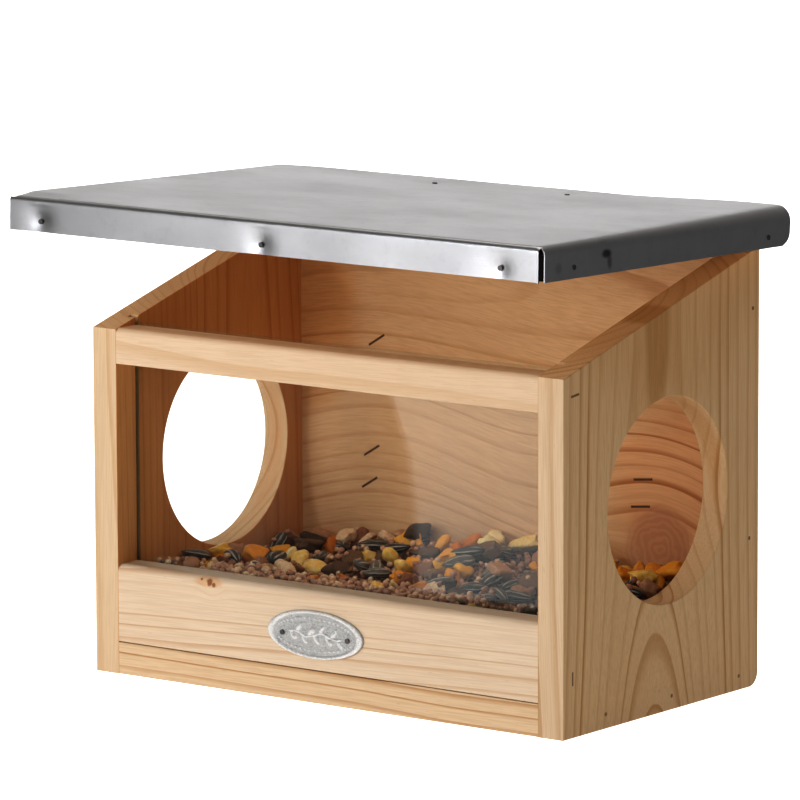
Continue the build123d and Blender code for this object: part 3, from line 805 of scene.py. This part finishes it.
# ---------- seeds
def seed_material(name, stops, rough, wrinkle, sheen, stripes):
    """One kind of seed. The stored tint sets each seed's own tone, and uv runs round and along it."""
    m, net, place = new_material(name)
    tint = net.node("Attribute", attribute_name="tint").outputs["Fac"]
    mottle = net.noise(place, 0.55, 4, 0.65)
    fac = net.plus(tint, net.times(net.minus(mottle, 0.5), 0.7), clamp=True)
    colour = net.ramp(fac, stops)
    height = mottle
    if stripes:
        u, v, _ = net.split(net.node("UVMap", uv_map="round").outputs[0])
        wave = net.mad(u, stripes * 2 * pi, net.times(net.noise(place, 0.35, 2), 2.2))
        band = net.smooth(net.math("SINE", wave), 0.35, 0.8)
        ends = net.times(net.smooth(v, 0.02, 0.16), net.smooth(v, 0.99, 0.86))
        streak = net.noise(net.join(net.times(u, 30), net.times(v, 2.2), tint), 1, 2)
        band = net.times(net.times(band, ends), net.smooth(streak, 0.3, 0.55))
        colour = net.mix(net.times(band, 0.85), colour, (0.52, 0.485, 0.42))
        height = net.mad(streak, 0.8, mottle)
    net.surface(Base_Color=colour, Roughness=net.mad(mottle, 0.25, rough),
                Specular_IOR_Level=sheen, Normal=net.bump(height, wrinkle, 0.0005))
    return m


# Kind, material, roughness, wrinkles, sheen, stripes, and tones as (place, red, green, blue).
SEED_LOOKS = {}
for kind, name, rough, wrinkle, sheen, stripes, tones in (
    ("sunflower_seeds", "sunflower", 0.36, 0.35, 0.45, 7,
     ((0, 0.045, 0.04, 0.036), (0.6, 0.095, 0.085, 0.075), (1, 0.17, 0.155, 0.135))),
    ("maize", "maize", 0.22, 0.9, 0.6, 0,
     ((0, 0.66, 0.2, 0.02), (0.4, 0.84, 0.38, 0.035), (0.75, 0.9, 0.58, 0.1), (1, 0.93, 0.8, 0.46))),
    ("peanut_pieces", "peanut", 0.42, 0.9, 0.4, 0,
     ((0, 0.24, 0.1, 0.05), (0.5, 0.46, 0.235, 0.13), (0.85, 0.66, 0.42, 0.25), (1, 0.82, 0.64, 0.43))),
    ("nut_shells", "nut_shell", 0.38, 1.2, 0.45, 0,
     ((0, 0.05, 0.03, 0.018), (0.6, 0.16, 0.09, 0.05), (1, 0.3, 0.18, 0.1))),
    ("small_grain", "small_grain", 0.34, 0.15, 0.45, 0,
     ((0, 0.38, 0.18, 0.115), (0.5, 0.6, 0.35, 0.235), (0.75, 0.8, 0.55, 0.35), (1, 0.92, 0.8, 0.58))),
):
    SEED_LOOKS[kind] = seed_material(name, tones, rough, wrinkle, sheen, stripes)


def sunflower_seed(rng):
    """Flat seed, blunt at one end and pointed at the other."""
    rows, around = 9, 14
    length = 15.0 * rng.uniform(0.85, 1.12)
    width = 7.4 * rng.uniform(0.86, 1.12)
    thick = 4.6
    bend = rng.uniform(-0.5, 0.5)
    verts, uvs = [], []
    for i in range(rows + 1):
        t = i / rows
        w = sin(pi * min(1, t ** 0.72)) ** 0.62 if 0 < t < 1 else 0.0
        w = max(w, 0.06)
        for j in range(around + 1):
            a = 2 * pi * j / around
            ridge = 1 + 0.1 * cos(2 * a) ** 8
            verts.append((length * (t - 0.5), width / 2 * w * cos(a) + bend * (t - 0.5) ** 2 * 2,
                          thick / 2 * w * sin(a) * ridge))
            uvs.append((j / around, t))
    faces = [[a, d, c, b] for a, b, c, d in quads(rows, around)]
    faces.append(list(range(around, -1, -1)))
    base = rows * (around + 1)
    faces.append([base + i for i in range(around + 1)])
    return np.array(verts), faces, uvs


def any_way(rng):
    """A direction in space, all equally likely."""
    return Vector((rng.gauss(0, 1), rng.gauss(0, 1), rng.gauss(0, 1))).normalized()


def lump(rng, size, squash, rough, facets=0, detail=2):
    """Rounded or broken piece: a ball pushed by noise and cut by a few flat breaks."""
    bm = bmesh.new()
    bmesh.ops.create_icosphere(bm, subdivisions=detail, radius=0.5)
    off = Vector((rng.random() * 50, rng.random() * 50, rng.random() * 50))
    cuts = [(any_way(rng), rng.uniform(0.16, 0.34)) for _ in range(facets)]
    for v in bm.verts:
        p = v.co.copy()
        p *= 1 + rough * noise.noise(p * 2.6 + off) + 0.3 * rough * noise.noise(p * 7.5 + off)
        for normal, reach in cuts:
            over = p.dot(normal) - reach
            if over > 0:
                p -= normal * over * 0.92
        v.co = Vector((p.x * size * squash[0], p.y * size * squash[1], p.z * size * squash[2]))
    verts = np.array([v.co[:] for v in bm.verts])
    faces = [[v.index for v in f.verts] for f in bm.faces]
    bm.free()
    return verts, faces, [(0, 0)] * len(verts)


def kernel(rng, size):
    """Maize kernel: broad crown, narrow tip, flat sides and a dimple."""
    verts, faces, uvs = lump(rng, size, (1.15, 0.95, 0.62), 0.1, 0, 3)
    t = (verts[:, 0] / (size * 1.15) + 0.5).clip(0, 1)
    verts[:, 1] *= 0.42 + 0.62 * t ** 0.7
    verts[:, 2] *= 0.7 + 0.35 * t
    dimple = np.exp(-((verts[:, 0] / size - 0.55) ** 2 + (verts[:, 1] / size) ** 2) / 0.05)
    verts[:, 0] -= dimple * size * 0.1
    return verts, faces, uvs


def half_nut(rng, size):
    """Split peanut kernel: domed on one side, flat on the other."""
    verts, faces, uvs = lump(rng, size, (1.45, 0.85, 0.8), 0.12, 0, 3)
    verts[verts[:, 2] < 0, 2] *= 0.18
    return verts, faces, uvs


HEAP_STEP = 1.0


def heap_level(x, y):
    """Height in mm of the bed under the top seeds: low at the pane, high in the middle of the back."""
    back = (y - heap_low.y / MM) / ((heap_high.y - heap_low.y) / MM)
    ridge = exp(-(((x + 2) / 58) ** 2)) * 10.0 * back ** 1.2
    right = 9.0 / (1 + exp(-(x - 68) / 11)) * back ** 1.3
    return 38.3 + ridge + right + 1.4 * ripple(x * 0.035, y * 0.035, 1.7)


# The pieces that stand out on top: kind, place, size and tint.
TOP_PIECES = (
    ("maize", -56, -4, 12.5, 0.86), ("maize", -47, 36, 13, 0.35), ("maize", -30, 28, 13.5, 0.5),
    ("shell", -82, 47, 19, 0.15), ("shell", -50, 14, 14, 0.75), ("shell", -42, 50, 16, 0.3),
    ("shell", -8, 50, 17, 0.55), ("shell", 12, 30, 16, 0.7), ("maize", -104, -12, 10, 0.75),
    ("maize", -86, -8, 11, 0.3), ("nut", 26, -28, 13.5, 0.95), ("nut", 57, -10, 14.5, 0.55),
    ("maize", 72, 46, 11, 0.8), ("maize", 80, 36, 12, 0.3), ("maize", 99, 22, 12.5, 0.78),
    ("maize", 92, 12, 11.5, 0.45), ("maize", 88, 46, 11, 0.55), ("maize", 104, 36, 10.5, 0.4),
    ("maize", 62, 52, 10, 0.62), ("nut", 34, 8, 13, 0.62), ("nut", 78, -14, 13, 0.35),
)
TOP_KINDS = {
    "maize": ("maize", (1.1, 0.9, 0.75), 0.5, 3),
    "nut": ("peanut_pieces", (1.1, 0.95, 0.7), 0.5, 5),
    "shell": ("nut_shells", (1.25, 0.8, 0.5), 0.36, 4),
}
TOP_SUNFLOWER = ((-66, -18), (-100, 22), (-116, -24), (56, -36), (22, -18), (-20, -8), (40, -20))


def pour():
    """Seeds are dropped one by one on a height map, so that each rests on those below it."""
    rng = random.Random(17)
    x0, y0 = heap_low.x / MM + 0.2, heap_low.y / MM + 0.1
    x1, y1 = heap_high.x / MM - 0.2, heap_high.y / MM - 0.1
    nx, ny = int((x1 - x0) / HEAP_STEP) + 1, int((y1 - y0) / HEAP_STEP) + 1
    level = np.array([
        [heap_level(x0 + i * HEAP_STEP, y0 + j * HEAP_STEP) for j in range(ny)] for i in range(nx)
    ])
    store = {name: ([], [], [], []) for name in SEED_LOOKS}

    def drop(kind, shape, x, y, tilt, tint, sink=0.6, most=11):
        """Turn a piece at random and lay it on the heap, sunk a little, unless it would stand too high."""
        verts, faces, uvs = shape
        turn = Matrix.Rotation(rng.uniform(0, 2 * pi), 3, "Z")
        turn = turn @ Euler((rng.gauss(0, tilt), rng.gauss(0, tilt), 0)).to_matrix()
        spun = verts @ np.array(turn).T
        low, high = spun.min(0), spun.max(0)
        x = min(max(x, x0 - low[0] + 0.2), x1 - high[0] - 0.2)
        y = min(max(y, y0 - low[1] + 0.15), y1 - high[1] - 0.15)
        i = ((spun[:, 0] + x - x0) / HEAP_STEP).round().astype(int).clip(0, nx - 1)
        j = ((spun[:, 1] + y - y0) / HEAP_STEP).round().astype(int).clip(0, ny - 1)
        below = spun[:, 2] < 0.25 * (low[2] + high[2]) + 0.1
        gaps = (level[i, j] - spun[:, 2])[below]
        z = np.quantile(gaps, 0.93) - sink
        if z + high[2] > heap_level(x, y) + most:
            return
        np.maximum.at(level, (i, j), spun[:, 2] + z)
        vs, fs, us, ts = store[kind]
        base = len(vs)
        vs.extend(((spun + (x, y, z)) * MM).tolist())
        fs.extend([[base + k for k in f] for f in faces])
        us.extend(uvs)
        ts.extend([tint] * len(spun))

    def broken(kind, smallest, largest, squash, rough, cuts, tilt):
        """What drops a broken piece of one kind at a place."""
        def fall(x, y):
            shape = lump(rng, rng.uniform(smallest, largest), squash, rough, cuts, 3)
            drop(kind, shape, x, y, tilt, rng.random())
        return fall

    grains = [lump(rng, 1, (1, 0.93, 0.85), 0.1, 0, 1) for _ in range(6)]

    def sprinkle(count, lowest=0, highest=1, left=x0, right=x1, small=2.2):
        """Small grain between two depths and two sides."""
        for _ in range(int(count * (1))):
            verts, faces, uvs = rng.choice(grains)
            size = rng.uniform(small, small + 1.5)
            x = rng.uniform(left, right)
            y = y0 + (y1 - y0) * rng.uniform(lowest, highest)
            drop("small_grain", (verts * size, faces, uvs), x, y, 0.5, rng.betavariate(2, 2.2), 0.5)

    sprinkle(1500)
    layers = (
        lambda x, y: drop("sunflower_seeds", sunflower_seed(rng), x, y, 0.3, rng.random()),
        lambda x, y: drop("maize", kernel(rng, rng.uniform(8.5, 11)), x, y, 0.55, rng.betavariate(2, 2)),
        broken("maize", 8, 12.5, (1.1, 0.9, 0.7), 0.5, 4, 0.5),
        lambda x, y: drop("peanut_pieces", half_nut(rng, rng.uniform(8.5, 11.5)), x, y, 0.6, rng.random()),
        broken("peanut_pieces", 8, 13, (1.2, 0.9, 0.7), 0.55, 5, 0.6),
        broken("nut_shells", 10.5, 16, (1.3, 0.85, 0.6), 0.55, 4, 0.4),
    )
    weights = (4.2, 3.2, 5.6, 2, 3, 3)
    for _ in range(250):
        layer = rng.choices(range(len(layers)), weights)[0]
        x, y = rng.uniform(x0, x1), rng.uniform(y0, y1)
        # At the front right, shells and sunflower seeds take the place of most of the maize.
        if x > 15 and y < 15 and layer in (1, 2) and rng.random() < 0.6:
            layer = rng.choice((0, 5))
        layers[layer](x, y)
    for kind, x, y, size, tint in TOP_PIECES:
        name, squash, rough, cuts = TOP_KINDS[kind]
        drop(name, lump(rng, size, squash, rough, cuts, 3), x, y, 0.22, tint, 2.2, 17.0 if x > 85 else 12.5)
    for x, y in TOP_SUNFLOWER:
        drop("sunflower_seeds", sunflower_seed(rng), x, y, 0.22, rng.random(), 1, 14)
    sprinkle(200)
    sprinkle(260, highest=0.18)
    sprinkle(1100, highest=0.13, left=-78, right=58, small=2.8)
    for name, (vs, fs, us, ts) in store.items():
        o = mesh_object(name, vs, fs, SEED_LOOKS[name])
        o.data.attributes.new("tint", "FLOAT", "POINT").data.foreach_set("value", ts)
        layer = o.data.uv_layers.new(name="round")
        loops = np.empty(len(o.data.loops), int)
        o.data.loops.foreach_get("vertex_index", loops)
        layer.data.foreach_set("uv", np.array(us, np.float32)[loops].ravel())
        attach(o, "box")
    return x0, y0, x1, y1


def seed_bed(x0, y0, x1, y1):
    """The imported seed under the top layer, closed down to the floor."""
    m, net, place = new_material("seed_bed")
    cells = net.node("TexVoronoi")
    net.put(cells.inputs["Vector"], place)
    cells.inputs["Scale"].default_value = 0.36
    tone = net.split(cells.outputs["Color"])[0]
    tones = ((0, 0.18, 0.085, 0.05), (0.5, 0.44, 0.23, 0.13), (0.8, 0.62, 0.4, 0.22), (1, 0.16, 0.14, 0.12))
    # Painted shade: the seams between the cells are painted nearly black, as the shade between the seeds.
    gap = net.smooth(cells.outputs["Distance"], 0.25, 0.75, 1, 0.15)
    colour = net.mix(gap, (0.06, 0.035, 0.022), net.ramp(tone, tones))
    net.surface(Base_Color=colour, Roughness=0.5, Normal=net.bump(gap, 0.6, 0.0012))
    nx, ny = 76, 40
    verts = []
    for i in range(nx + 1):
        for j in range(ny + 1):
            x, y = x0 + (x1 - x0) * i / nx, y0 + (y1 - y0) * j / ny
            z = heap_level(x, y) - 0.6 + 0.9 * ripple(x * 0.3, y * 0.3, 0)
            verts.append((x * MM, y * MM, z * MM))

    def at(i, j):
        return i * (ny + 1) + j

    faces = quads(nx, ny)
    rim = [at(i, 0) for i in range(nx + 1)] + [at(nx, j) for j in range(1, ny + 1)]
    rim += [at(i, ny) for i in range(nx - 1, -1, -1)] + [at(0, j) for j in range(ny - 1, 0, -1)]
    foot = len(verts)
    verts += [(*verts[k][:2], floor_high.z) for k in rim]
    for k in range(len(rim)):
        n = (k + 1) % len(rim)
        faces.append([rim[k], foot + k, foot + n, rim[n]])
    faces.append([foot + k for k in range(len(rim))][::-1])
    o = mesh_object("seed_bed", verts, faces, m)
    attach(o, "box")
    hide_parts("seed_mix")


seed_bed(*pour())


# ---------- loose wood fibres at the sawn edges
def fibres():
    """Hairs at the left hole's lower edge and on the left end of the rail."""
    rng = random.Random(8)
    verts, faces = [], []

    def hair(root, way, length, width, droop):
        side = way.cross(Vector((0.3, 0.2, 1))).normalized()
        steps = 5
        base = len(verts)
        for k in range(steps + 1):
            t = k / steps
            p = root + way * length * t + droop * t * t
            w = width * (1 - t * 0.85)
            for q in (side * w, way.cross(side).normalized() * w, -side * w):
                verts.append(p + q)
        for k in range(steps):
            a = base + 3 * k
            for n in range(3):
                m = (n + 1) % 3
                faces.append([a + n, a + m, a + 3 + m, a + 3 + n])

    hole = Vector((-side_low.x, 4 * MM, 90 * MM))
    near_rim = 43.8 * MM
    for angle, length in ((-34, 5.5), (-47, 4), (-52, 5), (-24, 2.5)):
        a = radians(angle)
        root = hole + Vector((0, cos(a), sin(a))) * near_rim
        way = Vector((0.55, -0.35, 0.4 + 0.2 * rng.random())).normalized()
        hair(root, way, length * MM, 0.16 * MM, Vector((0, 0, -1)) * MM)
    way = Vector((-0.6, 0.2, 0.65)).normalized()
    for x, length in ((-108, 6), (-104.5, 4.5), (-101, 3.5), (-96, 3)):
        root = Vector((x * MM, rail_high.y - 1.0 * MM, rail_high.z - 0.2 * MM))
        hair(root, way, length * MM, 0.2 * MM, Vector((-1.5, 0, -1)) * MM)
    o = mesh_object("wood_fibres", verts, faces, pines["side_left"])
    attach(o, "box")


fibres()

# ---------- studio
STUDIO_REACH = 14


def plain(name, colour, glow=0, tone=(1, 1, 1)):
    """Dull paint that may glow."""
    m, net, _ = new_material(name)
    net.surface(
        Base_Color=colour, Roughness=0.9, Specular_IOR_Level=0.1, Emission_Color=tone, Emission_Strength=glow,
    )
    return m


def aim(o, centre, way, front):
    """Put a studio object in its place, with its front axis along way."""
    o.location = centre
    o.rotation_euler = Vector(way).to_track_quat(front, "Y").to_euler()


def card(name, centre, width, height, facing, material, seen=False):
    """Flat card of the studio, hidden from the camera unless seen."""
    x, y = width / 2, height / 2
    corners = [(-x, -y, 0), (x, -y, 0), (x, y, 0), (-x, y, 0)]
    o = mesh_object(name, corners, [(0, 1, 2, 3)], material, smooth=False)
    aim(o, centre, facing, "Z")
    o.visible_camera = seen
    return o


def lamp(name, centre, target, width, height, power, colour):
    """Flat lamp that looks at target."""
    data = bpy.data.lights.new(name, "AREA")
    data.shape = "RECTANGLE"
    data.size, data.size_y = width, height
    data.energy = power
    data.color = colour
    o = add_object(name, data)
    aim(o, centre, Vector(target) - Vector(centre), "-Z")
    o.visible_camera = False
    return o


def shine_only(o):
    """A card that only shows in shiny surfaces and takes no light away."""
    o.visible_camera = o.visible_diffuse = o.visible_shadow = o.visible_transmission = False
    return o


def floor(name, x, z, width, colour, glow, tone=(1, 1, 1), seen=False):
    """White ground under the box, or one half of it."""
    white = plain(name, colour, glow, tone)
    return card(name, (x, 0, z), width, STUDIO_REACH, (0, 0, 1), white, seen)


backdrop = floor("studio_floor", 0, cad_low.z - 0.0004, STUDIO_REACH, (0.9, 0.9, 0.9), 0.95, seen=True)
backdrop.visible_diffuse = backdrop.visible_glossy = False
# The floor as the box meets it: a little dimmer and warmer on its right.
for name, x, glow, tone in (
    ("floor_left", -3.36, 0.45, (1, 0.98, 0.95)),
    ("floor_right", 3.64, 0.43, (1, 0.95, 0.87)),
):
    part = floor(name, x, cad_low.z - 0.0002, STUDIO_REACH / 2, (0.9, 0.89, 0.87), glow, tone)
    part.visible_shadow = part.visible_transmission = False

# Lamps: place, target, width, height, power in watts, colour, and whether shiny surfaces mirror them.
BOX_MIDDLE = (0, 0, 0.1)
for name, centre, target, width, height, power, colour, mirrored in (
    ("key", (-0.7, -1.72, 0.42), BOX_MIDDLE, 0.28, 0.28, 4, (0.95, 0.99, 1.04), True),
    ("left_strip", (-1.38, -1.12, 0.3), BOX_MIDDLE, 0.75, 0.42, 7, (0.97, 0.99, 1.02), False),
    ("front_softbox", (-0.12, -1.42, 0.34), BOX_MIDDLE, 1.7, 0.62, 4, (0.9, 0.98, 1.09), False),
    ("front_high", (-0.35, -1.2, 1), BOX_MIDDLE, 1.1, 0.6, 3.6, (0.95, 0.99, 1.04), False),
    ("seed_fill", (-0.012, -0.026, 0.142), (-0.012, -0.024, 0.045), 0.11, 0.07, 0.042, (1, 0.96, 0.9), False),
    ("inner_fill", (0, -0.052, 0.112), (0.01, 0.06, 0.075), 0.19, 0.05, 0.013, (1, 0.97, 0.93), False),
    ("overhead", (-0.2, 0.3, 2.2), (0, 0, 0), 2.2, 2.2, 20, (1, 0.985, 0.965), True),
):
    lamp(name, centre, target, width, height, power, colour).visible_glossy = mirrored
card("back_card", (-1.9, 2.9, 0.9), 4.2, 1.8, (0.55, -0.83, 0), plain("back_glow", (0.5, 0.5, 0.5), 0.7))
grey = plain("flag_grey", (0, 0, 0), 0.155)
shine_only(card("right_flag", (0.75, 0.75, 0.25), 2, 0.9, (-0.7, -0.71, 0), grey))
shine_only(card("right_floor_flag", (0.95, 0.85, 0.002), 1.5, 1.6, (0, 0, 1), grey))

# The pane and the front flange mirror the floor in front. Its dark part ends on a line that runs away
# from the box.
mirror_way = Vector((-0.601, -0.799, 0))
mirror_side = Vector((-0.799, 0.601, 0))
edge = Vector((0.036, -0.06, 0.003))
bright_edge = (
    (0.25, 0), (0.38, 0), (0.5, 0.001), (0.62, 0.003),
    (0.75, 0.01), (0.95, 0.02), (1.12, 0.13), (2.6, 0.26),
)


def mirrored_strip(name, stations, low, high, material):
    """A strip of floor beside the edge, between two distances from it, that only mirrors show."""
    verts = []
    for out, shift in stations:
        for side in (low, high):
            verts.append(edge + mirror_way * out + mirror_side * (shift + side))
    faces = [face[::-1] for face in quads(len(stations) - 1, 1)]
    strip = shine_only(mesh_object(name, verts, faces, material, smooth=False))


mirrored_strip("floor_flag", bright_edge, 0, 0.9, plain("flag_black", (0.012, 0.012, 0.012)))
# Further out a brighter strip, which only the lid's front flange mirrors.
mirrored_strip("floor_strip", bright_edge[-3:], -2.2, 0, plain("strip_glow", (0, 0, 0), 2.2))

world = bpy.data.worlds.new("studio")
scene.world = world
world.use_nodes = True
background = world.node_tree.nodes["Background"]
background.inputs[0].default_value = (1, 0.95, 0.88, 1)
background.inputs[1].default_value = 0.19

# ---------- camera
camera_data = bpy.data.cameras.new("camera")
camera_data.sensor_width = 36
camera_data.lens = 300.86
camera_data.clip_start, camera_data.clip_end = 0.1, 40
camera = add_object("camera", camera_data)
scene.camera = camera
yaw, pitch, roll = radians(37.08), radians(-9.21), radians(-0.22)
look = Vector((-sin(yaw) * cos(pitch), cos(yaw) * cos(pitch), sin(pitch)))
right = look.cross(Vector((0, 0, 1))).normalized()
up = right.cross(look)
tilted_right = right * cos(roll) + up * sin(roll)
tilted_up = up * cos(roll) - right * sin(roll)
camera.matrix_world = Matrix.Translation((1.6999, -2.2664, 0.5808)) @ Matrix(
    (tilted_right, tilted_up, -look)).transposed().to_4x4()

view = scene.view_settings
view.view_transform = "Standard"
view.look = "None"
view.exposure = 0.0
view.gamma = 0.7
